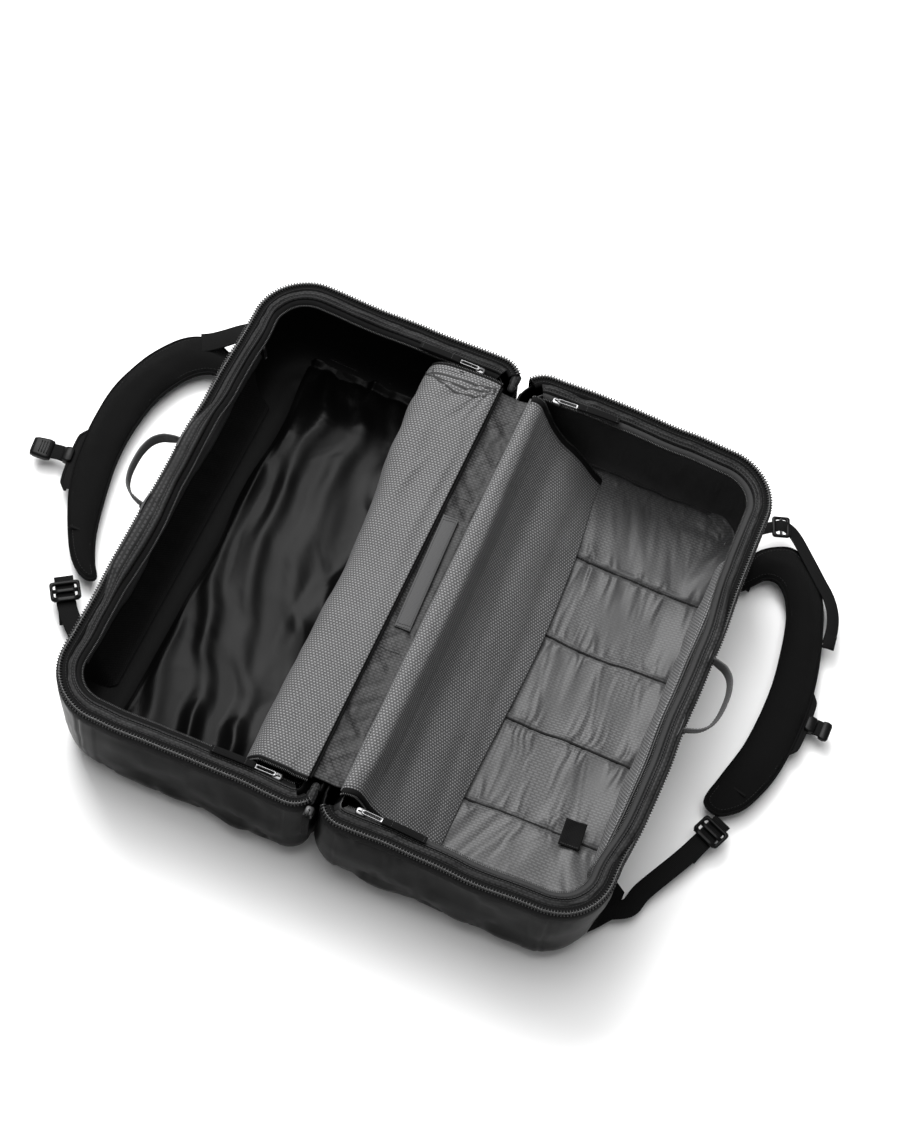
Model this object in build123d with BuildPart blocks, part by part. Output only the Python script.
from build123d import *
import os
from math import sin, cos, radians

# Clamshell travel backpack, opened flat like a book.
# Frame: origin at the middle of the spine on the floor, +X towards the right
# half, +Y towards the far end, +Z up.  All sizes in millimetres.

os.makedirs("parts", exist_ok=True)

SIDES = ((-1, "left"), (1, "right"))    # sign of X, name

# ---- driving dimensions ----------------------------------------------------
LENGTH = 600.0          # bag length along the spine
HALF_W = 310.0          # width of one half, spine line to outer side
HINGE_Z = 150.0         # height of the fold line = depth of one half
SHELL_H = 134.0         # top edge of the fabric shell
SPINE_GAP = 1.0         # each half stands this far off the fold plane
R_OUT = 63.0            # plan radius of the two outer corners
R_SPINE = 30.0          # plan radius of the two corners at the spine
R_BASE = 28.0           # rounding of the bottom edges
SHELL_T = 4.0           # coated fabric and foam
BOARD_T = 2.0           # base board thickness
LINING_T = 1.2          # lining fabric thickness
FIT = 0.2               # gap between sewn neighbours

# ---- rim and floor ----------------------------------------------------------
TAPE_INSET = 1.2        # main zip tape, in from the outer face
TAPE_T = 1.6            # main zip tape thickness
COIL_W = 8.0            # main zip coil width
COIL_H = 4.6            # main zip coil height
COIL_TOP = HINGE_Z - 0.4
COIL_Z = COIL_TOP - COIL_H
RIM_Z = SHELL_H + FIT   # underside of what sits on the shell edge
ZIP_SPINE_CUT = (2 * 16.0, LENGTH + 20)     # X, Y: opens the zip at the spine

LINING_INSET = SHELL_T + FIT
LINING_Z = SHELL_T + BOARD_T + 2 * FIT
FLOOR_Z = LINING_Z + LINING_T + FIT
FLOOR_INSET = 34
SATIN_T = 3.0
QUILT_T = 6.0
QUILT_CHANNELS_Y = (170.0, 61.0, -53.0, -158.0)

# ---- wall pocket and grab handle --------------------------------------------
WALL_X = HALF_W - LINING_INSET - LINING_T - FIT     # face the pocket lies on
POCKET_HALF = 205
POCKET_ZIP_HALF = 225
POCKET_ZIP_Z = 99
POCKET_PROFILE = ((0, 34), (5, 34), (9, 50), (5, 92), (0, 92))  # in from wall, Z
POCKET_SLIDER_Y = 224
POCKET_SLIDER_L = 12
BRIDGE_INNER, BRIDGE_OUTER = 12.3, 5    # puller bridge, in from the wall

# grab handle edges on the right half: X, Y
HANDLE_OUTER = ((315.4, 48.6), (331.8, 45.6), (343.4, 31), (347.2, 2),
                (343.4, -26), (331.8, -41.6), (315.4, -45.6))
HANDLE_INNER = ((315.4, -42.4), (329.8, -38.6), (340.2, -24.6), (344.0, 2),
                (340.2, 29.6), (329.8, 42.6), (315.4, 45.4))
HANDLE_TABS_X = 311.1
HANDLE_TABS_Y = (47, -44)

# ---- spine fittings ---------------------------------------------------------
SPINE_HANDLE_W = 25.0
SPINE_HANDLE_Y = 10
SPINE_FOOT_PITCH = 140
GARAGE_Y = 275.0
MAIN_ZIP_X = -3.2

# ---- divider flaps ----------------------------------------------------------
FLAP_HALF = 262.0               # half length of the upper leaves
LOWER_HALF = FLAP_HALF - 4      # half length of the lower leaves
FLAP_T = 2.4
FLAP_X = 18.0                   # sewn edge, from the fold line
FLAP_Z = 148.0
UPPER_ANGLE = -50.5             # right upper leaf falls away from the spine
UPPER_LEN = 165.0
FOLD_GAP = 4.2                  # clearance under the upper leaf's far edge
LOWER_ANGLE = UPPER_ANGLE - 170     # back to the spine, ten degrees off
LOWER_LEN = 112.0
LEFT_LOWER_START = (-98.0, 21.0)    # X, Z
LEFT_LOWER_ANGLE = 10
LEFT_LOWER_LEN = 72

# left upper leaf, top and bottom faces from the spine outwards: X, Z
HUMP_TOP = [(-19.2, 147.2), (-50, 147.2), (-82.8, 143.7), (-100.2, 130.6),
            (-106.2, 108), (-106.2, 70), (-103.2, 24.0)]
HUMP_BOTTOM = [(-19.2, 144.8), (-50, 144.8), (-81.2, 141.3), (-97.8, 129.4),
               (-103.8, 108), (-103.8, 70), (-100.8, 24.0)]

DIVIDER_SLIDER_X = {"left": -49.0, "right": 45.0}
DIVIDER_SLIDER_Y = (("far", 274.0), ("near", -274.0))

# ---- shoulder straps --------------------------------------------------------
PAD_Z = 12.0
PAD_T = 14.0
PAD_TOP = PAD_Z + PAD_T
BAND_Z = PAD_TOP + 0.4
BAND_T = 2.4

# closed pad outlines: X, Y
PAD_OUTLINES = {
    "left": [
        (-321, 229), (-346, 243), (-369, 251), (-391, 247), (-411, 229),
        (-431, 195), (-446, 145), (-448, 97), (-444, 52), (-438, 20),
        (-425, -17), (-399, -66), (-380, -89), (-362, -98), (-352, -92),
        (-363, -74), (-378, -40), (-392, 16), (-399, 58), (-400, 102),
        (-394, 146), (-380, 182), (-364, 202), (-346, 209), (-321, 203)],
    "right": [
        (320, 262), (347, 284), (376, 274), (404, 240), (422, 188),
        (434, 125), (436, 70), (430, 10), (415, -36), (400, -56),
        (383, -65), (366, -54), (373, -20), (385, 32), (389, 99),
        (384, 155), (374, 203), (357, 232), (338, 234), (320, 214)],
}
LEFT_BAND = [(-372, 226), (-312, 236), (-312, 268), (-374, 250)]    # corners: X, Y
RIGHT_BAND = [(304, 284), (329, 301), (347, 299), (374, 275), (408, 241),
              (426, 216), (431, 184)]                               # centre line: X, Y
RIGHT_BAND_HALF_W = 9.0

# lower webbing centre lines, from the pad's tip to the bag: X, Y
WEBBING = {"left": [(-377, -119), (-363, -140), (-334, -168)],
           "right": [(387, -84), (369, -126), (336, -198)]}
WEBBING_HALF_W = 13.0
WEBBING_END_X = 322     # webbing is trimmed here, just clear of the bag
ANCHOR_PROFILE = ((311, 22), (321, 8), (321, -22), (311, -52))  # X, Y from webbing end

RAIL_Z = 19.0
# far and near ends of the sternum rails: X, Y
RAILS = {"left": ((-454.0, 66.0), (-445.0, 2.0)),
         "right": ((442.5, 110.0), (441.5, 46.0))}
CLIP_POSITION = 0.45    # share of the rail's length, from its far end
# buckle end of each clip: distance out from rail, width, length, corner, half thickness
BUCKLES = {"left": (34, 24, 26, 4, 4.5),
           "right": (20, 10, 24, 2, 3.0)}


# ---- helpers ----------------------------------------------------------------
def write(solid, name):
    solid.label = name
    export_step(solid, "parts/" + name + ".step")


def tray_face(sign, inset):
    """Plan outline of one half, inset from its outer face."""
    spine_x, outer_x = SPINE_GAP + inset, HALF_W - inset
    end_y = LENGTH / 2 - inset
    outer_radius, spine_radius = max(R_OUT - inset, 4), max(R_SPINE - inset, 3)
    with BuildSketch() as outline:
        with BuildLine():
            Polyline((sign * spine_x, -end_y), (sign * outer_x, -end_y),
                     (sign * outer_x, end_y), (sign * spine_x, end_y),
                     (sign * spine_x, -end_y))
        make_face()
        fillet(outline.vertices().group_by(Axis.X)[0 if sign < 0 else -1], radius=outer_radius)
        fillet(outline.vertices().filter_by(
            lambda v: abs(abs(v.X) - spine_x) < 0.01 and abs(abs(v.Y) - end_y) < 0.01),
            radius=spine_radius)
    return outline.sketch


def open_tray(sign, inset, z, base_radius, wall):
    """Hollow tray up to the shell edge, open at the top."""
    with BuildPart() as tray:
        with BuildSketch(Plane.XY.offset(z)):
            add(tray_face(sign, inset))
        extrude(amount=SHELL_H - z)
        fillet(tray.faces().sort_by(Axis.Z)[0].edges(), radius=base_radius)
        offset(amount=-wall, openings=tray.faces().sort_by(Axis.Z)[-1])
    return tray.part


def rim_band(sign, outer_inset, inner_inset, z, height, cuts, top_chamfer=None):
    """Flat band round the three free sides; cuts are X, Y sizes centred on the spine."""
    with BuildPart() as band:
        with BuildSketch(Plane.XY.offset(z)):
            add(tray_face(sign, outer_inset))
            add(tray_face(sign, inner_inset), mode=Mode.SUBTRACT)
            for width, length in cuts:
                Rectangle(width, length, mode=Mode.SUBTRACT)
        extrude(amount=height)
        if top_chamfer:
            chamfer(band.faces().sort_by(Axis.Z)[-1].outer_wire().edges(), length=top_chamfer)
    return band.part


def rounded_block(x, y, z, width, length, height, corner, top_fillet):
    with BuildPart() as block:
        with BuildSketch(Plane.XY.offset(z)):
            with Locations((x, y)):
                RectangleRounded(width, length, corner)
        extrude(amount=height)
        fillet(block.edges().group_by(Axis.Z)[-1], radius=top_fillet)
    return block.part


def polygon_plate(plane, corners, amount):
    with BuildPart() as plate:
        with BuildSketch(plane):
            with BuildLine():
                Polyline(*corners, corners[0])
            make_face()
        extrude(amount=amount)
    return plate.part


def step(point, angle, distance):
    """Point reached from another at an angle in degrees."""
    return (point[0] + distance * cos(radians(angle)),
            point[1] + distance * sin(radians(angle)))


def flap_leaf(start, end, half_length):
    """Flat flap leaf seen edge on from start to end (X, Z), with rounded edges."""
    with BuildPart() as leaf:
        with BuildSketch(Plane.XZ.offset(half_length)):
            with BuildLine():
                Line(start, end)
                offset(amount=FLAP_T / 2, side=Side.BOTH)
            make_face()
        extrude(amount=-2 * half_length)
    return leaf.part


# ---- the two trays ----------------------------------------------------------
def tray_layers(sign, side):
    """Shell, base board lying in it, and lining standing on the board."""
    write(open_tray(sign, 0, 0, R_BASE, SHELL_T), side + "_shell")
    with BuildPart() as board:
        with BuildSketch(Plane.XY.offset(SHELL_T + FIT)):
            add(tray_face(sign, 36))
        extrude(amount=BOARD_T)
    write(board.part, side + "_base_board")
    lining_radius = R_BASE - LINING_INSET - 1
    write(open_tray(sign, LINING_INSET, LINING_Z, lining_radius, LINING_T), side + "_lining")


def floor_panel(sign, side):
    """Smooth satin on the left, quilted pad on the right."""
    thickness = SATIN_T if sign < 0 else QUILT_T
    with BuildPart() as floor:
        with BuildSketch(Plane.XY.offset(FLOOR_Z)):
            add(tray_face(sign, FLOOR_INSET))
        extrude(amount=thickness)
        if sign > 0:
            # stitched channels across the pad
            for y in QUILT_CHANNELS_Y:
                with BuildSketch(Plane.XY.offset(FLOOR_Z + thickness)):
                    with Locations((HALF_W / 2, y)):
                        Rectangle(200, 6)
                extrude(amount=-2.5, mode=Mode.SUBTRACT)
    write(floor.part, "left_satin_floor" if sign < 0 else "right_quilted_floor")


def rim_bands(sign, side):
    """Main zip tape and coil, ripstop collar inside them, divider zip tape below it."""
    write(rim_band(sign, TAPE_INSET, TAPE_INSET + TAPE_T, RIM_Z, COIL_Z - FIT - RIM_Z,
                   [ZIP_SPINE_CUT]), side + "_main_zip_tape")
    write(rim_band(sign, 0, COIL_W, COIL_Z, COIL_H,
                   [ZIP_SPINE_CUT], top_chamfer=1.0), side + "_main_zip_coil")
    write(rim_band(sign, COIL_W + 0.4, 21, SHELL_H + 5.0, 2.0,
                   [(2 * 26.0, LENGTH - 40), (2 * 17.0, LENGTH + 40)]), side + "_rim_collar")
    write(rim_band(sign, 16, 30, SHELL_H + 3.0, 1.6,
                   [(2 * 34.0, LENGTH - 60), (2 * 20.0, LENGTH + 60)]),
          side + "_divider_zip_tape")


def wall_pocket(sign, side):
    """Mesh pocket on the outer long wall, with the zip tape above it."""
    profile = [(sign * (WALL_X - inset), z) for inset, z in POCKET_PROFILE]
    pocket = polygon_plate(Plane.XZ.offset(POCKET_HALF), profile, -2 * POCKET_HALF)
    write(pocket, side + "_wall_pocket")
    with BuildPart() as tape:
        with BuildSketch(Plane.XZ.offset(POCKET_ZIP_HALF)):
            with Locations((sign * (WALL_X - 1.0), POCKET_ZIP_Z)):
                Rectangle(2.0, 12)
        extrude(amount=-2 * POCKET_ZIP_HALF)
    write(tape.part, side + "_pocket_zip_tape")


def pocket_slider(sign, side):
    """Slider body, hanging puller, and the bridge joining them."""
    body_start = POCKET_SLIDER_Y - POCKET_SLIDER_L / 2
    bridge_x = min(sign * (WALL_X - BRIDGE_INNER), sign * (WALL_X - BRIDGE_OUTER))
    with BuildPart() as slider:
        with BuildSketch(Plane.XZ.offset(-body_start)):
            with Locations((sign * (WALL_X - 4.2), POCKET_ZIP_Z)):
                RectangleRounded(4.0, 9, 1.4)
        extrude(amount=-POCKET_SLIDER_L)
        with BuildSketch(Plane.XY.offset(72)):
            with Locations((sign * (WALL_X - 11.4), POCKET_SLIDER_Y)):
                RectangleRounded(1.8, 6, 0.8)
        extrude(amount=24.6)
        with BuildSketch(Plane.YZ.offset(bridge_x)):
            with Locations((POCKET_SLIDER_Y, 98.6)):
                RectangleRounded(6, 4, 1.2)
        extrude(amount=BRIDGE_INNER - BRIDGE_OUTER)
    write(slider.part, side + "_pocket_slider")


def grab_handle(sign, side):
    """Webbing loop on the outer long rim, and its two sewn tabs."""
    outer = [(sign * x, y) for x, y in HANDLE_OUTER]
    inner = [(sign * x, y) for x, y in HANDLE_INNER]
    with BuildPart() as handle:
        with BuildSketch(Plane.XY.offset(135.5)):
            with BuildLine():
                Spline(*outer)
                Line(outer[-1], inner[0])
                Spline(*inner)
                Line(inner[-1], outer[0])
            make_face()
        extrude(amount=7.0)
    write(handle.part, side + "_grab_handle")
    with BuildPart() as tabs:
        with BuildSketch(Plane.XY.offset(122)):
            with Locations(*[(sign * HANDLE_TABS_X, y) for y in HANDLE_TABS_Y]):
                RectangleRounded(1.6, 24, 0.7)
        extrude(amount=24)
    write(tabs.part, side + "_handle_tabs")


# ---- the spine --------------------------------------------------------------
def spine_panel(sign, side):
    """Flat leaf beside the fold line, with an upright strip along its outer edge."""
    with BuildPart() as leaf:
        with BuildSketch(Plane.XY.offset(RIM_Z)):
            with Locations((sign * 8.8, 0)):
                RectangleRounded(17.2, 512, 3)
        extrude(amount=1.6)
        with BuildSketch(Plane.XY.offset(RIM_Z)):
            with Locations((sign * 16.7, 0)):
                Rectangle(1.2, 506)
        extrude(amount=9.0)
    write(leaf.part, side + "_spine_panel")


def spine_handle():
    """Flat webbing along the spine on two feet."""
    half_pitch = SPINE_FOOT_PITCH / 2
    with BuildPart() as handle:
        with BuildSketch(Plane.XY.offset(140)):
            with Locations((-3.1, SPINE_HANDLE_Y)):
                RectangleRounded(SPINE_HANDLE_W, 148, 2)
        extrude(amount=1.6)
        with BuildSketch(Plane.XY.offset(136.0)):
            with Locations((-9, SPINE_HANDLE_Y + half_pitch), (-9, SPINE_HANDLE_Y - half_pitch)):
                RectangleRounded(12, 8, 1)
        extrude(amount=4.2)
    write(handle.part, "spine_handle")


def main_zip_fittings():
    """Fabric garages over the zip ends; slider and hanging tab at the near end."""
    for end, y in (("far", GARAGE_Y), ("near", -GARAGE_Y)):
        garage = rounded_block(x=-8.0, y=y, z=136.0, width=12, length=24, height=8.6,
                               corner=3, top_fillet=1.5)
        write(garage, end + "_zip_garage")
    slider = rounded_block(x=MAIN_ZIP_X, y=-296.0, z=137, width=11, length=12, height=9,
                           corner=3, top_fillet=1.5)
    write(slider, "main_zip_slider")
    with BuildPart() as tab:
        with BuildSketch(Plane.XZ.offset(305.2)):
            with Locations((MAIN_ZIP_X, 122)):
                RectangleRounded(9, 44, 3)
        extrude(amount=-2.4)
    write(tab.part, "main_pull_tab")


# ---- the dividers -----------------------------------------------------------
def right_divider():
    """Upper leaf running down into the tray, lower leaf tucked under it."""
    upper_start = (FLAP_X + FLAP_T / 2, FLAP_Z - 1.5)
    upper_end = step(upper_start, UPPER_ANGLE, UPPER_LEN)
    lower_start = step(upper_end, UPPER_ANGLE - 90, FOLD_GAP)
    lower_end = step(lower_start, LOWER_ANGLE, LOWER_LEN)
    write(flap_leaf(upper_start, upper_end, FLAP_HALF), "right_divider_upper")
    write(flap_leaf(lower_start, lower_end, LOWER_HALF), "right_divider_lower")


def left_divider():
    """Upper leaf humping out from the spine before it drops, and a flat lower leaf."""
    with BuildPart() as upper:
        with BuildSketch(Plane.XZ.offset(FLAP_HALF)):
            with BuildLine():
                Spline(*HUMP_TOP)
                Line(HUMP_TOP[-1], HUMP_BOTTOM[-1])
                Spline(*HUMP_BOTTOM[::-1])
                Line(HUMP_BOTTOM[0], HUMP_TOP[0])
            make_face()
        extrude(amount=-2 * FLAP_HALF)
    write(upper.part, "left_divider_upper")
    lower_end = step(LEFT_LOWER_START, LEFT_LOWER_ANGLE, LEFT_LOWER_LEN)
    write(flap_leaf(LEFT_LOWER_START, lower_end, LOWER_HALF), "left_divider_lower")


def divider_sliders(sign, side):
    """Divider zip sliders, and pullers with a fabric tab pointing outwards."""
    x = DIVIDER_SLIDER_X[side]
    for end, y in DIVIDER_SLIDER_Y:
        name = side + "_" + end
        slider = rounded_block(x=x, y=y, z=138.8, width=12, length=9, height=5.2,
                               corner=2.5, top_fillet=1.2)
        write(slider, name + "_divider_slider")
        with BuildPart() as puller:
            with BuildSketch(Plane.XY.offset(144.4)):
                with Locations((x + sign * 15.0, y)):
                    SlotOverall(30, 6)
                with Locations((x + sign * 26.0, y)):
                    SlotOverall(5, 2.4, mode=Mode.SUBTRACT)
            extrude(amount=1.6)
            with BuildSketch(Plane.XY.offset(144.2)):
                with Locations((x + sign * 52.0, y)):
                    RectangleRounded(46, 9, 3)
            extrude(amount=2.4)
        write(puller.part, name + "_divider_puller")


def label_tab():
    """Blank label on the right floor, towards the outer wall and the near end."""
    with BuildPart() as label:
        with BuildSketch(Plane.XY.offset(14.6)):
            with Locations(Location((249, -154), 4)):
                Rectangle(24, 31)
        extrude(amount=1.0)
    write(label.part, "right_label_tab")


# ---- the shoulder straps ----------------------------------------------------
def shoulder_pad(sign, side):
    with BuildPart() as pad:
        with BuildSketch(Plane.XY.offset(PAD_Z)):
            with BuildLine():
                Spline(*PAD_OUTLINES[side], periodic=True)
            make_face()
        extrude(amount=PAD_T)
    write(pad.part, side + "_shoulder_strap")


def strap_bands():
    """Upper bands from the pads to the bag; the right one carries a buckle frame."""
    write(polygon_plate(Plane.XY.offset(BAND_Z), LEFT_BAND, BAND_T), "left_strap_band")
    with BuildPart() as band:
        with BuildSketch(Plane.XY.offset(BAND_Z)):
            with BuildLine():
                Polyline(*RIGHT_BAND)
                offset(amount=RIGHT_BAND_HALF_W, side=Side.BOTH)
            make_face()
        extrude(amount=BAND_T)
        with BuildSketch(Plane.XY.offset(PAD_TOP + 2.6)):
            with Locations(Location((331, 300), 20)):
                RectangleRounded(20, 26, 3)
                Rectangle(7, 19, mode=Mode.SUBTRACT)
        extrude(amount=5)
    write(band.part, "right_strap_band")


def lower_strap(sign, side):
    """Lower webbing, the ladder lock over its pad end, and its anchor at the bag."""
    path = WEBBING[side]
    with BuildPart() as webbing:
        with BuildSketch(Plane.XY.offset(18.0)):
            with BuildLine():
                Polyline(*path)
                offset(amount=WEBBING_HALF_W, side=Side.BOTH)
            make_face()
        extrude(amount=1.8)
        split(bisect_by=Plane.YZ.offset(sign * WEBBING_END_X),
              keep=Keep.TOP if sign > 0 else Keep.BOTTOM)
    write(webbing.part, side + "_strap_webbing")

    pad_end = Vector(*path[0], 0)
    along = (Vector(*path[1], 0) - pad_end).normalized()
    lock_centre = pad_end + along * 4 + Vector(0, 0, 20.6)
    with BuildPart() as lock:
        with BuildSketch(Plane(origin=lock_centre, x_dir=along, z_dir=(0, 0, 1))):
            RectangleRounded(22, 34, 3)
            with Locations((-5, 0), (5, 0)):
                Rectangle(5, 27, mode=Mode.SUBTRACT)
        extrude(amount=3.6)
    write(lock.part, side + "_ladder_lock")

    corners = [(sign * x, path[-1][1] + y) for x, y in ANCHOR_PROFILE]
    write(polygon_plate(Plane.XY.offset(14.0), corners, 3.0), side + "_strap_anchor")


def sternum_fittings(sign, side):
    """Rail beside the outer edge of the pad, and the clip that slides on it."""
    far_end, near_end = [Vector(x, y, RAIL_Z) for x, y in RAILS[side]]
    length = (near_end - far_end).length
    along = (near_end - far_end).normalized()
    outward = Vector(-sign * along.Y, sign * along.X, 0)
    with BuildPart() as rail:
        with BuildSketch(Plane(origin=far_end, x_dir=(0, 0, 1), z_dir=along)):
            Circle(2.2)
        extrude(amount=length)
        # a square stub near each end
        for share in (0.04, 0.96):
            stub = far_end + along * (length * share)
            with BuildSketch(Plane(origin=stub, x_dir=(0, 0, 1), z_dir=outward)):
                Rectangle(3, 3)
            extrude(amount=4.0)
    write(rail.part, side + "_sternum_rail")

    centre = far_end + along * (length * CLIP_POSITION)
    clip_plane = Plane(origin=centre, x_dir=outward, z_dir=(0, 0, 1))
    distance, width, buckle_length, corner, half_thickness = BUCKLES[side]
    with BuildPart() as clip:
        # block round the rail, bored to slide on it
        with BuildSketch(clip_plane.offset(-5)):
            with Locations((2.0, 0)):
                RectangleRounded(11, 20, 2)
        extrude(amount=10)
        with BuildSketch(Plane(origin=centre, x_dir=(0, 0, 1), z_dir=along)):
            Circle(2.4)
        extrude(amount=30, both=True, mode=Mode.SUBTRACT)
        # webbing and buckle half
        with BuildSketch(clip_plane.offset(-1.2)):
            with Locations((15, 0)):
                Rectangle(18, 20)
        extrude(amount=2.4)
        with BuildSketch(clip_plane.offset(-half_thickness)):
            with Locations((distance, 0)):
                RectangleRounded(width, buckle_length, corner)
        extrude(amount=2 * half_thickness)
    write(clip.part, side + "_sternum_clip")


SIDE_PIECES = (tray_layers, floor_panel, rim_bands, wall_pocket, pocket_slider, grab_handle,
               spine_panel, divider_sliders, shoulder_pad, lower_strap, sternum_fittings)
for sign, side in SIDES:
    for build in SIDE_PIECES:
        build(sign, side)

for build in (spine_handle, main_zip_fittings, right_divider, left_divider, label_tab,
              strap_bands):
    build()
